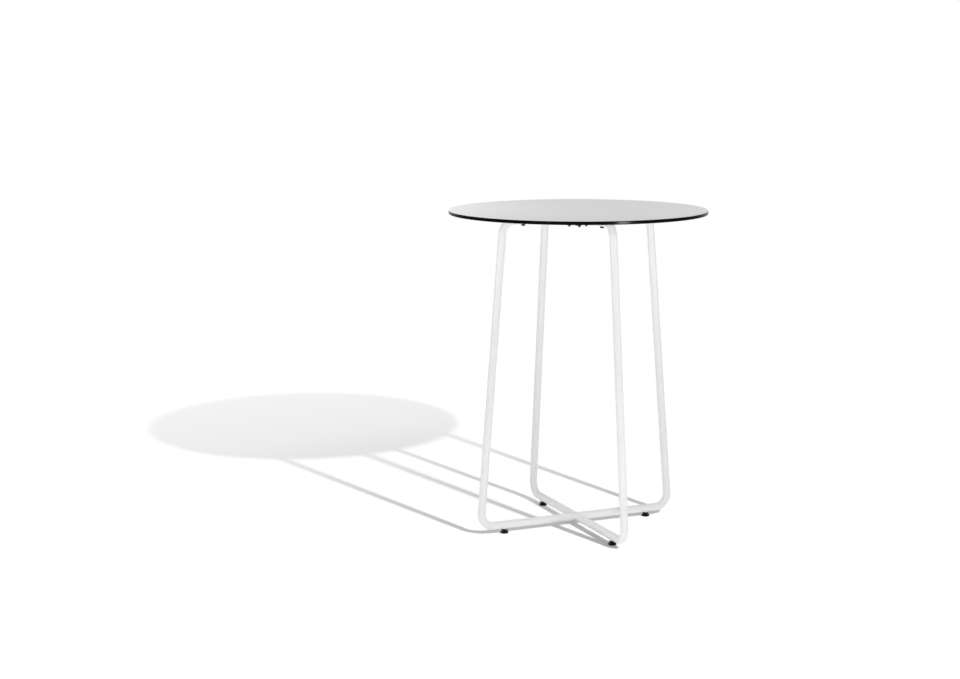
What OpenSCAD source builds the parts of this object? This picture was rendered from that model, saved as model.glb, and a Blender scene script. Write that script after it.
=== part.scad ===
// Round cafe table: a thin laminate top on two trapezoid loops of bent tube that cross at
// right angles, with a levelling foot under each end of the lower rails.
// Millimetres. The origin is on the floor under the middle of the top, and +Z is up.
// The main loop lies along X (left and right), the cross loop along Y (front and rear).

/* [Tabletop] */
// Diameter of the round top
top_dia = 600; // [520:10:800]
// Height of the top's upper face above the floor
table_height = 750; // [700:5:1100]
// Thickness of the whole top with both decor layers
top_thickness = 8; // [8:0.5:13]
// Thickness of one decor layer
decor_thickness = 0.4; // [0.3:0.05:0.8]
// Rounding of the upper and the lower rim
rim_round = 1.2; // [0.5:0.1:2.5]

/* [Tube frame] */
// Outside diameter of the tube
tube_dia = 18; // [17:0.5:20]
// Wall of the tube
tube_wall = 1.5; // [1:0.1:1.7]
// Gap between the upper rails and the underside of the top
rail_gap = 3; // [3:0.5:8]
// Gap between the lower rails and the floor
floor_gap = 10.5; // [10:0.5:16]
// Reach of the left and right legs at the upper rails, on the tube's axis
main_top_reach = 189; // [180:1:230]
// Reach of the front and rear legs at the upper rails, on the tube's axis
cross_top_reach = 176.5; // [170:0.5:230]
// Reach of all four legs at the lower rails, on the tube's axis
base_reach = 246.5; // [235:0.5:290]
// Radius of the upper bends, on the tube's axis
top_bend_r = 32; // [26:1:38]
// Radius of the lower bends, on the tube's axis
base_bend_r = 30; // [26:1:40]
// Leg of the weld beads
weld_leg = 2.5; // [1.5:0.25:2.75]

/* [Centre hub] */
// Outside diameter of the hub that the upper rails are welded to
hub_dia = 56; // [54:1:70]
// Bore through the middle of the hub
hub_bore = 24; // [16:1:26]
// How far the hub stands below the upper rails
hub_drop = 3; // [3:0.5:6]
// Circle of the four centre studs
stud_circle = 40; // [38:1:43]
// Turn of the four studs from the main loop, in degrees
stud_turn = -16; // [-45:1:45]
// Length of stud left below each centre nut
stud_tail = 2.7; // [1:0.1:6]

/* [Top fixings] */
// Distance of the outer screws inside the legs' upper reach, on the main loop
main_fix_inset = 50; // [47:1:80]
// Distance of the outer screws inside the legs' upper reach, on the cross loop
cross_fix_inset = 53; // [47:0.5:80]
// Thread diameter of the screws and studs that hold the top
screw_dia = 5; // [4:0.5:6]
// How far the screws and studs reach into the top
screw_bite = 4; // [3:0.5:5]
// Length of the threaded inserts in the top
insert_length = 5.5; // [5:0.25:5.75]
// Wall of the threaded inserts
insert_wall = 1.1; // [0.8:0.1:1.5]
// Height of the pan heads
head_height = 3.6; // [2.5:0.1:4.5]
// Overhang of the pan heads past the thread
head_overhang = 2; // [1.5:0.1:2.5]
// Size across flats of the hexagon socket in the heads
socket_flats = 3; // [2.5:0.5:3]
// Depth of the hexagon socket
socket_depth = 1.8; // [1:0.1:2]
// Diameter of the saddle spacers
spacer_dia = 15; // [13:0.5:16]
// How far the saddle spacers reach down round the tube
spacer_wrap = 3; // [1.5:0.5:4]
// Thickness of the centre washers
washer_thickness = 1; // [0.8:0.1:1.5]
// Diameter of the centre washers
washer_dia = 10; // [9:0.5:11]
// Thickness of the centre nuts
nut_height = 4; // [3:0.1:5]
// Size across flats of the centre nuts
nut_flats = 8; // [8:0.5:9]

/* [Feet] */
// Distance of the four feet inside the legs' lower reach
foot_inset = 60.2; // [56:0.1:90]
// Thread diameter of the foot studs
foot_thread = 8; // [7:0.5:9]
// Length of thread above the hexagon collar
thread_length = 15.1; // [12:0.1:15.5]
// Size across flats of the hexagon collar
collar_flats = 13; // [11:0.5:14]
// Height of the hexagon collar
collar_height = 3.3; // [2:0.1:3.6]
// Diameter of the neck between collar and pad
neck_dia = 6.5; // [5:0.1:7]
// Diameter of the flange that the pad snaps over
flange_dia = 9.4; // [8.6:0.1:12]
// Height of that flange
flange_height = 1.8; // [1:0.1:2]
// Diameter of the glide pads
pad_dia = 18.5; // [16:0.5:30]
// Height of the glide pads
pad_height = 4.5; // [4.4:0.1:5]
// Floor of the pad under the flange
pad_floor = 1.3; // [0.8:0.1:1.4]
// Rounding of the pad's lower rim
pad_rim = 1.8; // [0.5:0.1:2.4]
// Length of the threaded bushes in the lower rails
bush_length = 12; // [9:0.5:13]
// Wall of the threaded bushes
bush_wall = 1.95; // [1.2:0.05:2]
// How far the bushes stand out below the lower rails
bush_proud = 0.3; // [0.2:0.1:0.5]

/* [Clearances] */
// Gap round a thread or a pressed part, on the radius
fit_gap = 0.05; // [0.03:0.01:0.08]
// Gap between parts that turn or slide on each other, on the radius
swivel_gap = 0.1; // [0.08:0.01:0.15]
// Gap round a screw in a drilled hole, on the radius
drill_gap = 0.25; // [0.15:0.05:0.5]
// Gap between the hexagon collar and the bush with the foot screwed in
stop_gap = 0.3; // [0.2:0.05:0.4]
// Root gap between the ends of tubes that are welded
root_gap = 0.1; // [0.05:0.05:0.3]

/* [Hidden] */

// Directions of the four legs, as turns from +X
RIGHT = 0;
REAR = 90;
LEFT = 180;
FRONT = 270;

top_r = top_dia / 2;
tube_r = tube_dia / 2;
bore_r = tube_r - tube_wall;
top_under_z = table_height - top_thickness;
upper_rail_z = top_under_z - rail_gap - tube_r;
upper_rail_under_z = upper_rail_z - tube_r;
lower_rail_z = floor_gap + tube_r;
hub_r = hub_dia / 2;
hub_under_z = upper_rail_under_z - hub_drop;
hub_height = top_under_z - hub_under_z;

main_fix_reach = main_top_reach - main_fix_inset;
cross_fix_reach = cross_top_reach - cross_fix_inset;
foot_reach = base_reach - foot_inset;

screw_r = screw_dia / 2;
screw_top_z = top_under_z + screw_bite;
insert_r = screw_r + fit_gap + insert_wall;
insert_top_z = top_under_z + insert_length;
head_r = screw_r + head_overhang;
nut_under_z = hub_under_z - washer_thickness - nut_height;

bush_under_z = floor_gap - bush_proud;
bush_bore_r = foot_thread / 2 + fit_gap;
bush_r = bush_bore_r + bush_wall;
collar_top_z = bush_under_z - stop_gap;
collar_under_z = collar_top_z - collar_height;
flange_under_z = pad_floor + swivel_gap;
flange_top_z = flange_under_z + flange_height;
socket_r = flange_dia / 2 + swivel_gap;
throat_r = neck_dia / 2 + swivel_gap;

// Length that a through cut runs past the face it cuts
past = 1;
// Height on the crossing, as a share of the tube's radius, where the corner welds run out
weld_runout = 0.8;
edge_break = 0.4;
// How far the straights and the bends of a tube stop short of the joint between them
joint_gap = 0.2;
// How far the ball in that joint reaches out along the tube
joint_lap = 0.6;
$fn = 96;

// Where things go

// Turn a part to each of the given directions at its own reach
module at(direction, reach) {
    rotate([0, 0, direction])
        translate([reach, 0, 0])
            children();
}

// The four outer screws, two on each loop
module each_outer_screw() {
    for (direction = [RIGHT, LEFT])
        at(direction, main_fix_reach)
            children();
    for (direction = [REAR, FRONT])
        at(direction, cross_fix_reach)
            children();
}

// The four centre studs
module each_centre_stud() {
    for (direction = [RIGHT, REAR, LEFT, FRONT])
        at(direction + stud_turn, stud_circle / 2)
            children();
}

// Points of an arc about (x, y)
function arc(x, y, r, from, to, steps = 6) =
    [for (i = [0:steps]) let (a = from + (to - from) * i / steps) [x + r * cos(a), y + r * sin(a)]];

// A ring or disc between two heights
module ring(outer, inner, low, high) {
    rotate_extrude()
        translate([inner, low])
            square([outer - inner, high - low]);
}

// Top

// Half section of the whole top, with its rounded rim
module top_section() {
    polygon(concat(
        [[0, table_height], [0, top_under_z]],
        arc(top_r - rim_round, top_under_z + rim_round, rim_round, -90, 0),
        arc(top_r - rim_round, table_height - rim_round, rim_round, 0, 90)
    ));
}

// One layer of the top, cut from the section between two heights
module top_layer(low, high) {
    rotate_extrude($fn = 180)
        intersection() {
            top_section();
            translate([0, low])
                square([top_r, high - low]);
        }
}

// Blind hole for a threaded insert, from below
module insert_hole() {
    translate([0, 0, top_under_z - past])
        cylinder(r = insert_r + fit_gap, h = past + insert_length + fit_gap);
}

module tabletop_face() {
    color("#d6d6d5")
        top_layer(table_height - decor_thickness, table_height);
}

module tabletop_core() {
    color("#0d1012")
        difference() {
            top_layer(top_under_z + decor_thickness, table_height - decor_thickness);
            each_outer_screw() insert_hole();
            each_centre_stud() insert_hole();
        }
}

module tabletop_backing() {
    color("#cfcfce")
        difference() {
            top_layer(top_under_z, top_under_z + decor_thickness);
            each_outer_screw() insert_hole();
            each_centre_stud() insert_hole();
        }
}

module insert() {
    ring(insert_r, screw_r + fit_gap, top_under_z, insert_top_z);
}

module outer_inserts() {
    color("#b08d57")
        each_outer_screw() insert();
}

module centre_inserts() {
    color("#b08d57")
        each_centre_stud() insert();
}

// Tube frame

// Lean of a leg from the vertical
function lean(top_reach) = atan2(base_reach - top_reach, upper_rail_z - lower_rail_z);

// Distance from a corner of the loop to where its bend starts
function upper_setback(top_reach) = top_bend_r * tan((90 - lean(top_reach)) / 2);
function lower_setback(top_reach) = base_bend_r * tan((90 + lean(top_reach)) / 2);

// Centres of a leg's two bends, in the XZ plane
function upper_centre(top_reach) = [top_reach - upper_setback(top_reach), upper_rail_z - top_bend_r];
function lower_centre(top_reach) = [base_reach - lower_setback(top_reach), lower_rail_z + base_bend_r];

// Straight round bar between two points of the XZ plane, a little short of both
module straight(r, from, to) {
    run = to - from;
    translate([from.x, 0, from.y])
        rotate([0, atan2(run.x, run.y), 0])
            translate([0, 0, joint_gap])
                cylinder(r = r, h = norm(run) - 2 * joint_gap, $fn = 48);
}

// Bend of round bar about a point of the XZ plane, from one angle on by a sweep, a little short
// of both ends
module bend(r, bend_r, centre, from, sweep) {
    short = joint_gap / bend_r * 180 / PI;
    translate([centre.x, 0, centre.y])
        rotate([90, 0, 0])
            rotate_extrude(angle = sweep - 2 * short, start = from + short)
                translate([bend_r, 0])
                    circle(r = r, $fn = 48);
}

// Ball that joins a straight to a bend. It is a hair wider than the bar, so the faces of the
// two never have to meet, and its poles lie on the bar's axis.
module joint_ball(r, p, turn) {
    translate([p.x, 0, p.y])
        rotate([0, turn, 0])
            sphere(r = norm([r, joint_lap]), $fn = 48);
}

// Round bar along one leg in the XZ plane: lower bend, leg, upper bend and upper rail
module leg_bar(r, top_reach) {
    tilt = lean(top_reach);
    outward = [cos(tilt), sin(tilt)];
    low = lower_centre(top_reach);
    high = upper_centre(top_reach);
    rail_end = [low.x, lower_rail_z];
    leg_foot = low + base_bend_r * outward;
    leg_head = high + top_bend_r * outward;
    top_end = [high.x, upper_rail_z];
    joint_ball(r, rail_end, 90);
    bend(r, base_bend_r, low, -90, 90 + tilt);
    joint_ball(r, leg_foot, -tilt);
    straight(r, leg_foot, leg_head);
    joint_ball(r, leg_head, -tilt);
    bend(r, top_bend_r, high, tilt, 90 - tilt);
    joint_ball(r, top_end, 90);
    straight(r, [hub_r / 2, upper_rail_z], top_end);
}

// Both legs of the main loop and its lower rail
module main_bar(r) {
    rail_end = lower_centre(main_top_reach).x;
    straight(r, [-rail_end, lower_rail_z], [rail_end, lower_rail_z]);
    for (direction = [RIGHT, LEFT])
        rotate([0, 0, direction])
            leg_bar(r, main_top_reach);
}

// One leg of the cross loop and its half of the lower rail
module half_bar(r) {
    straight(r, [0, lower_rail_z], [lower_centre(cross_top_reach).x, lower_rail_z]);
    leg_bar(r, cross_top_reach);
}

// Upright cut with the hub's outline, which copes the upper rails
module hub_cope() {
    translate([0, 0, upper_rail_z - tube_dia])
        cylinder(r = hub_r + root_gap, h = 2 * tube_dia);
}

// Hole through both walls of an upper rail for an outer screw
module screw_hole() {
    translate([0, 0, upper_rail_under_z - past])
        cylinder(r = screw_r + drill_gap, h = tube_dia + 2 * past, $fn = 32);
}

// Hole through the lower wall of a lower rail for a foot bush
module bush_hole() {
    translate([0, 0, floor_gap - past])
        cylinder(r = bush_r + fit_gap, h = past + tube_r, $fn = 32);
}

module main_loop() {
    color("#eceded")
        difference() {
            main_bar(tube_r);
            main_bar(bore_r);
            hub_cope();
            for (direction = [RIGHT, LEFT]) {
                at(direction, main_fix_reach) screw_hole();
                at(direction, foot_reach) bush_hole();
            }
        }
}

// One half of the cross loop, coped to the hub above and to the main loop's rail below
module half_loop(direction) {
    color("#eceded")
        rotate([0, 0, direction])
            difference() {
                half_bar(tube_r);
                half_bar(bore_r);
                hub_cope();
                translate([0, 0, lower_rail_z])
                    rotate([90, 0, 0])
                        cylinder(r = tube_r + root_gap, h = 2 * tube_dia, center = true);
                translate([cross_fix_reach, 0, 0]) screw_hole();
                translate([foot_reach, 0, 0]) bush_hole();
            }
}

module front_half_loop() {
    half_loop(FRONT);
}

module rear_half_loop() {
    half_loop(REAR);
}

// Round hub with a bore and four stud holes
module centre_hub() {
    color("#eceded")
        difference() {
            rotate_extrude()
                polygon([
                    [hub_bore / 2, hub_under_z],
                    [hub_r - edge_break, hub_under_z],
                    [hub_r, hub_under_z + edge_break],
                    [hub_r, top_under_z - edge_break],
                    [hub_r - edge_break, top_under_z],
                    [hub_bore / 2, top_under_z]
                ]);
            each_centre_stud()
                translate([0, 0, hub_under_z - past])
                    cylinder(r = screw_r + drill_gap, h = hub_height + 2 * past, $fn = 32);
        }
}

// Bead round the end of each upper rail: a cone that is cut by the hub and by the rail
module hub_welds() {
    bead_start = sqrt(hub_r * hub_r - pow(tube_r + weld_leg, 2)) - weld_leg;
    bead_end = hub_r + weld_leg;
    bead_length = bead_end - bead_start;
    color("#e6e7e7")
        for (direction = [RIGHT, REAR, LEFT, FRONT])
            rotate([0, 0, direction])
                difference() {
                    translate([bead_start, 0, upper_rail_z])
                        rotate([0, 90, 0])
                            cylinder(r1 = tube_r + bead_length, r2 = tube_r, h = bead_length);
                    cylinder(r = hub_r, h = table_height);
                    translate([0, 0, upper_rail_z])
                        rotate([0, 90, 0])
                            cylinder(r = tube_r, h = 2 * hub_dia);
                }
}

// Bead in each corner of the lower crossing, seen along the rails' bisector. Its face is a part
// of a cylinder: it lies the bead's leg outside the corner at the rails' height, and runs into
// the corner above and below.
module crossing_welds() {
    reach = weld_leg / sqrt(2);
    run_z = weld_runout * tube_r;
    corner = sqrt(2) * tube_r;
    end = sqrt(2) * sqrt(tube_r * tube_r - run_z * run_z);
    face_at = (pow(corner, 2) - pow(end, 2) - pow(run_z, 2)) / (2 * (corner - end));
    face_r = corner + reach - face_at;
    color("#e6e7e7")
        for (direction = [RIGHT, REAR, LEFT, FRONT])
            rotate([0, 0, direction + 45])
                translate([0, 0, lower_rail_z])
                    difference() {
                        intersection() {
                            translate([face_at, 0, 0])
                                rotate([90, 0, 0])
                                    cylinder(r = face_r, h = 2 * (reach + past), center = true);
                            translate([0, -tube_r, -run_z])
                                cube([2 * tube_dia, tube_dia, 2 * run_z]);
                        }
                        for (side = [-45, 45])
                            rotate([0, 90, side])
                                cylinder(r = tube_r, h = 4 * tube_dia, center = true);
                    }
}

// Top fixings

// Spacer with a saddle underneath that sits on the tube
module rail_spacer() {
    difference() {
        ring(spacer_dia / 2, screw_r + drill_gap, upper_rail_z + tube_r - spacer_wrap, top_under_z);
        translate([0, 0, upper_rail_z])
            rotate([0, 90, 0])
                cylinder(r = tube_r + fit_gap, h = 2 * spacer_dia, center = true);
    }
}

module rail_spacers() {
    color("#d9dadb")
        each_outer_screw() rail_spacer();
}

// Six-sided bar by its size across flats
module hexagon(flats, h) {
    cylinder(r = flats / 2 / cos(30), h = h, $fn = 6);
}

// Pan head screw, head down, with a hexagon socket
module outer_screw() {
    crown = head_height * 0.45;
    head_z = upper_rail_under_z - head_height;
    difference() {
        rotate_extrude()
            polygon(concat(
                [[0, screw_top_z], [0, head_z]],
                arc(head_r - crown, head_z + crown, crown, -90, 0),
                [
                    [head_r, upper_rail_under_z],
                    [screw_r, upper_rail_under_z],
                    [screw_r, screw_top_z - edge_break],
                    [screw_r - edge_break, screw_top_z]
                ]
            ));
        translate([0, 0, head_z - past])
            hexagon(socket_flats, past + socket_depth);
    }
}

module outer_screws() {
    color("#26282a")
        each_outer_screw() outer_screw();
}

module centre_stud() {
    tip_z = nut_under_z - stud_tail;
    rotate_extrude()
        polygon([
            [0, tip_z],
            [screw_r - edge_break, tip_z],
            [screw_r, tip_z + edge_break],
            [screw_r, screw_top_z - edge_break],
            [screw_r - edge_break, screw_top_z],
            [0, screw_top_z]
        ]);
}

module centre_studs() {
    color("#26282a")
        each_centre_stud() centre_stud();
}

module centre_washers() {
    color("#3a3d40")
        each_centre_stud()
            ring(washer_dia / 2, screw_r + drill_gap, hub_under_z - washer_thickness, hub_under_z);
}

// Six-sided prism with turned corners at both ends
module turned_hexagon(flats, low, high) {
    corner_r = flats / 2 / cos(30);
    turned = corner_r - flats / 2;
    intersection() {
        translate([0, 0, low])
            hexagon(flats, high - low);
        rotate_extrude()
            polygon([
                [0, low],
                [flats / 2, low],
                [corner_r, low + turned / 2],
                [corner_r, high - turned / 2],
                [flats / 2, high],
                [0, high]
            ]);
    }
}

module centre_nuts() {
    color("#26282a")
        each_centre_stud()
            difference() {
                turned_hexagon(nut_flats, nut_under_z, nut_under_z + nut_height);
                translate([0, 0, nut_under_z - past])
                    cylinder(r = screw_r + fit_gap, h = nut_height + 2 * past, $fn = 32);
            }
}

// Feet

module foot_bush(direction) {
    color("#dcdddd")
        at(direction, foot_reach)
            ring(bush_r, bush_bore_r, bush_under_z, bush_under_z + bush_length);
}

module foot_bush_left() {
    foot_bush(LEFT);
}

module foot_bush_right() {
    foot_bush(RIGHT);
}

module foot_bush_front() {
    foot_bush(FRONT);
}

module foot_bush_rear() {
    foot_bush(REAR);
}

// Stud with its flange in the pad, its hexagon collar and its thread
module foot_stud(direction) {
    thread_r = foot_thread / 2;
    thread_top_z = collar_top_z + thread_length;
    color("#1d1e20")
        at(direction, foot_reach) {
            rotate_extrude()
                polygon([
                    [0, flange_under_z],
                    [flange_dia / 2 - edge_break, flange_under_z],
                    [flange_dia / 2, flange_under_z + edge_break],
                    [flange_dia / 2, flange_top_z - edge_break],
                    [flange_dia / 2 - edge_break, flange_top_z],
                    [neck_dia / 2, flange_top_z],
                    [neck_dia / 2, collar_under_z + collar_height / 2],
                    [thread_r, collar_under_z + collar_height / 2],
                    [thread_r, thread_top_z - 2 * edge_break],
                    [thread_r - 2 * edge_break, thread_top_z],
                    [0, thread_top_z]
                ]);
            turned_hexagon(collar_flats, collar_under_z, collar_top_z);
        }
}

module foot_stud_left() {
    foot_stud(LEFT);
}

module foot_stud_right() {
    foot_stud(RIGHT);
}

module foot_stud_front() {
    foot_stud(FRONT);
}

module foot_stud_rear() {
    foot_stud(REAR);
}

// Round pad with a socket for the flange and a narrower throat for the neck
module foot_pad(direction) {
    pad_r = pad_dia / 2;
    upper_rim = pad_rim / 2;
    color("#141416")
        at(direction, foot_reach)
            rotate_extrude()
                polygon(concat(
                    [[0, pad_floor], [0, 0]],
                    arc(pad_r - pad_rim, pad_rim, pad_rim, -90, 0),
                    arc(pad_r - upper_rim, pad_height - upper_rim, upper_rim, 0, 90),
                    [
                        [throat_r, pad_height],
                        [throat_r, flange_top_z + swivel_gap],
                        [socket_r, flange_top_z + swivel_gap],
                        [socket_r, pad_floor]
                    ]
                ));
}

module foot_pad_left() {
    foot_pad(LEFT);
}

module foot_pad_right() {
    foot_pad(RIGHT);
}

module foot_pad_front() {
    foot_pad(FRONT);
}

module foot_pad_rear() {
    foot_pad(REAR);
}

tabletop_face();
tabletop_core();
tabletop_backing();
outer_inserts();
centre_inserts();
rail_spacers();
centre_hub();
main_loop();
front_half_loop();
rear_half_loop();
hub_welds();
crossing_welds();
outer_screws();
centre_studs();
centre_washers();
centre_nuts();
foot_bush_left();
foot_bush_right();
foot_bush_front();
foot_bush_rear();
foot_stud_left();
foot_stud_right();
foot_stud_front();
foot_stud_rear();
foot_pad_left();
foot_pad_right();
foot_pad_front();
foot_pad_rear();
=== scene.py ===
# %% [markdown]
# # A round cafe table on bent tube loops
# The table is a thin round top on two trapezoid loops of white tube that cross at right angles.
# Its sizes are settled before this file starts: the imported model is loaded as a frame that
# nothing here moves. What this file adds is what makes the pieces look real, which is their
# finish, their threads and weld beads, and the light of a small white studio.

import math

import bmesh
import bpy
import numpy as np
from mathutils import Matrix, Vector


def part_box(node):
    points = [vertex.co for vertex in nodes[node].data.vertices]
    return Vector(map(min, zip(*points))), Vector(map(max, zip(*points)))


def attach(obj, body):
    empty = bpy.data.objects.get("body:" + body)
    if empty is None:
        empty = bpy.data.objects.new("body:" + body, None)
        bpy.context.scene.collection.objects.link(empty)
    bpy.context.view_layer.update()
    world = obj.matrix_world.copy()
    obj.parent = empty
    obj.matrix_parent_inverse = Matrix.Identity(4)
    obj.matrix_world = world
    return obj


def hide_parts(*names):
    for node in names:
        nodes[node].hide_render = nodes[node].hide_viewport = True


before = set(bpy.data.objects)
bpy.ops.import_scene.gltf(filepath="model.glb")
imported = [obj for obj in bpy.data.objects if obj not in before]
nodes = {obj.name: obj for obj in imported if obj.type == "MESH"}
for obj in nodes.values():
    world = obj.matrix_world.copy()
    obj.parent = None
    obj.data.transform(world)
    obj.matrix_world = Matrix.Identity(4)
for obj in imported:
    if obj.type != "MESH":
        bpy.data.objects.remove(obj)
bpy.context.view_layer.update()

# %% [markdown]
# ## Directions
# The main loop lies along X and the cross loop along Y, so each leg, foot and screw is at one of
# four quarter turns. Every repeated piece below is made once, round the Z axis or along X, and
# then turned to its direction, the way the frame itself was laid out.

# %% Name the four directions
QUARTER_TURNS = {"right": 0.0, "rear": 90.0, "left": 180.0, "front": 270.0}


def turned(points, degrees):
    """Points turned about the Z axis by an angle.

    The new X is the cosine times X less the sine times Y, and the new Y is the sine times X
    plus the cosine times Y."""
    a = math.radians(degrees)
    c, s = math.cos(a), math.sin(a)
    x, y, z = np.moveaxis(np.asarray(points, float), -1, 0)
    return np.stack([c * x - s * y, s * x + c * y, z], axis=-1)


def at_each(grid, places):
    """Copies of a grid of points, one at each place, given as a reach along X and a turn."""
    return [turned(grid + np.array([reach, 0.0, 0.0]), degrees) for reach, degrees in places]


print("directions:", ", ".join(QUARTER_TURNS))

# %% [markdown]
# ## Camera
# The photograph was taken from about four metres away with a long lens, a little above the top.
# The camera is placed by its distance and height, then turned away from the table, tipped down
# and rolled by small angles. The small shift lifts the picture the way a view camera does.

# %% Place the camera
CAMERA_DISTANCE = 3.84698
CAMERA_HEIGHT = 1.08324
CAMERA_AZIMUTH = math.radians(26.253)   # between the view and the cross loop
CAMERA_YAW = math.radians(3.388)        # turned left, so the table stands right of the middle
CAMERA_PITCH = math.radians(7.556)      # tipped down
CAMERA_ROLL = math.radians(-0.141)
FOCAL_WIDTHS = 1661.4 / 960             # focal length as a share of the picture's width
SENSOR_WIDTH = 36.0
CAMERA_SHIFT = -0.0568

camera_data = bpy.data.cameras.new("camera")
camera_data.sensor_width = SENSOR_WIDTH
camera_data.lens = FOCAL_WIDTHS * SENSOR_WIDTH
camera_data.shift_y = CAMERA_SHIFT
camera = bpy.data.objects.new("camera", camera_data)
bpy.context.scene.collection.objects.link(camera)
view_away = Vector((math.sin(CAMERA_AZIMUTH), math.cos(CAMERA_AZIMUTH), 0.0))
camera.location = -CAMERA_DISTANCE * view_away + Vector((0.0, 0.0, CAMERA_HEIGHT))
aim = (
    Matrix.Rotation(CAMERA_YAW - CAMERA_AZIMUTH, 4, "Z")
    @ Matrix.Rotation(math.pi / 2 - CAMERA_PITCH, 4, "X")
    @ Matrix.Rotation(CAMERA_ROLL, 4, "Z")
)
camera.rotation_euler = aim.to_euler()
bpy.context.scene.camera = camera
bpy.context.scene.view_settings.view_transform = "Standard"
print("lens:", round(camera_data.lens, 2), "mm")

# %% [markdown]
# ## Lamps
# An area lamp's power spreads with distance, so each lamp here is set by its level: what it adds
# to a white surface that faces it at a given distance. Light linking then says what a lamp
# falls on, as flags and screens do in a studio.

# %% Make a lamp by its level
def lamp_power(level, reach, spread):
    """Watts for a level at a distance: the level times the square of pi times the distance.

    A spread under half a turn gathers the light into a beam, whose middle is brighter by the
    half spread's tangent over that tangent less the half spread, so it takes less power."""
    slope = math.tan(spread / 2)
    gain = slope / (slope - spread / 2) if spread < math.pi else 1.0
    return level * (math.pi * reach) ** 2 / gain


def add_lamp(name, place, target, size, level, spread=math.pi, receivers=None, hidden_from=None):
    """Rectangular lamp that faces a target, with its long side level.

    It falls on its receivers alone, or else on everything that it isn't hidden from."""
    reach = (target - place).length
    data = bpy.data.lights.new(name, "AREA")
    data.shape = "RECTANGLE"
    data.size, data.size_y = size
    data.spread = spread
    data.energy = lamp_power(level, reach, spread)
    lamp = bpy.data.objects.new(name, data)
    bpy.context.scene.collection.objects.link(lamp)
    lamp.location = place
    lamp.rotation_euler = (target - place).to_track_quat("-Z", "Y").to_euler()
    lamp.visible_camera = False
    for state, chosen in (("INCLUDE", receivers), ("EXCLUDE", hidden_from)):
        if chosen:
            linked = bpy.data.collections.new(name + "_receivers")
            for index, piece in enumerate(chosen):
                linked.objects.link(piece)
                linked.collection_objects[index].light_linking.link_state = state
            lamp.light_linking.receiver_collection = linked
    print(name, round(data.energy, 1), "W at", round(reach, 2), "m")
    return lamp


print("level 1 at 1 m takes", round(lamp_power(1.0, 1.0, math.pi), 2), "W")

# %% [markdown]
# ## Nodes from Python
# A material or a world is a net of small nodes. Written out in full, each one takes several
# lines. So each helper here makes one kind of node, feeds its inputs, and gives back its
# output for the next one. An input is fed either with another node's output or with a value.

# %% Make the node helpers
def feed(tree, value, socket):
    """Join an output to an input, or set the input to a plain value."""
    if isinstance(value, bpy.types.NodeSocket):
        tree.links.new(value, socket)
    else:
        socket.default_value = value


def math_node(tree, operation, a, b):
    """Output of a Math node on two numbers."""
    node = tree.nodes.new("ShaderNodeMath")
    node.operation = operation
    feed(tree, a, node.inputs[0])
    feed(tree, b, node.inputs[1])
    return node.outputs["Value"]


def vector_node(tree, operation, output, *vectors):
    """Named output of a Vector Math node on one or two vectors."""
    node = tree.nodes.new("ShaderNodeVectorMath")
    node.operation = operation
    for vector, socket in zip(vectors, node.inputs):
        feed(tree, vector, socket)
    return node.outputs[output]


def map_range(tree, value, from_min, from_max, to_min, to_max):
    """Output of a Map Range node, which carries a value from one range to another."""
    node = tree.nodes.new("ShaderNodeMapRange")
    for name, given in (("Value", value), ("From Min", from_min), ("From Max", from_max),
                        ("To Min", to_min), ("To Max", to_max)):
        feed(tree, given, node.inputs[name])
    return node.outputs["Result"]


print("node helpers ready")

# %% [markdown]
# ## Room
# A white studio room fills the shadows from all round. The camera and reflections see it pure
# white, and what falls on the object is a little lower, so that pale paint doesn't clip. Only
# low down, on the side where the camera stands, is the studio dark. That dark side is what the
# polished black edge of the top reflects, and why it looks so black.

# %% Light the room
FILL_LEVEL = 0.62
ROOM_WHITE = (1.0, 1.0, 1.0, 1.0)
DARK_SIDE = 0.03            # what reflections see low down on the camera's side
HEIGHT_WEIGHT = 5.0         # how fast the dark side brightens with height
DARK_UP_TO = 0.0
WHITE_FROM = 0.6


def seen_directly(tree):
    """1 for camera, glossy and transmission rays, and 0 for the rays that light the object."""
    path = tree.nodes.new("ShaderNodeLightPath").outputs
    either = math_node(tree, "MAXIMUM", path["Is Camera Ray"], path["Is Glossy Ray"])
    return math_node(tree, "MAXIMUM", either, path["Is Transmission Ray"])


world = bpy.data.worlds.new("room")
bpy.context.scene.world = world
world.use_nodes = True
world_tree = world.node_tree
world_tree.nodes.clear()
room_direction = world_tree.nodes.new("ShaderNodeTexCoord").outputs["Generated"]
up_and_away = view_away + Vector((0.0, 0.0, HEIGHT_WEIGHT))
away = vector_node(world_tree, "DOT_PRODUCT", "Value", room_direction, up_and_away)
reflected = map_range(world_tree, away, DARK_UP_TO, WHITE_FROM, DARK_SIDE, 1.0)
room_path = world_tree.nodes.new("ShaderNodeLightPath").outputs
plain_white = math_node(world_tree, "MAXIMUM", room_path["Is Camera Ray"],
                        room_path["Is Transmission Ray"])
glossy_white = math_node(world_tree, "MULTIPLY", room_path["Is Glossy Ray"], reflected)
shown = math_node(world_tree, "MAXIMUM", plain_white, glossy_white)
lights_object = math_node(world_tree, "SUBTRACT", 1.0, seen_directly(world_tree))
filling = math_node(world_tree, "MULTIPLY", lights_object, FILL_LEVEL)
room_light = world_tree.nodes.new("ShaderNodeBackground")
feed(world_tree, ROOM_WHITE, room_light.inputs["Color"])
feed(world_tree, math_node(world_tree, "ADD", shown, filling), room_light.inputs["Strength"])
world_out = world_tree.nodes.new("ShaderNodeOutputWorld")
feed(world_tree, room_light.outputs["Background"], world_out.inputs["Surface"])
print("fill:", FILL_LEVEL)

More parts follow.
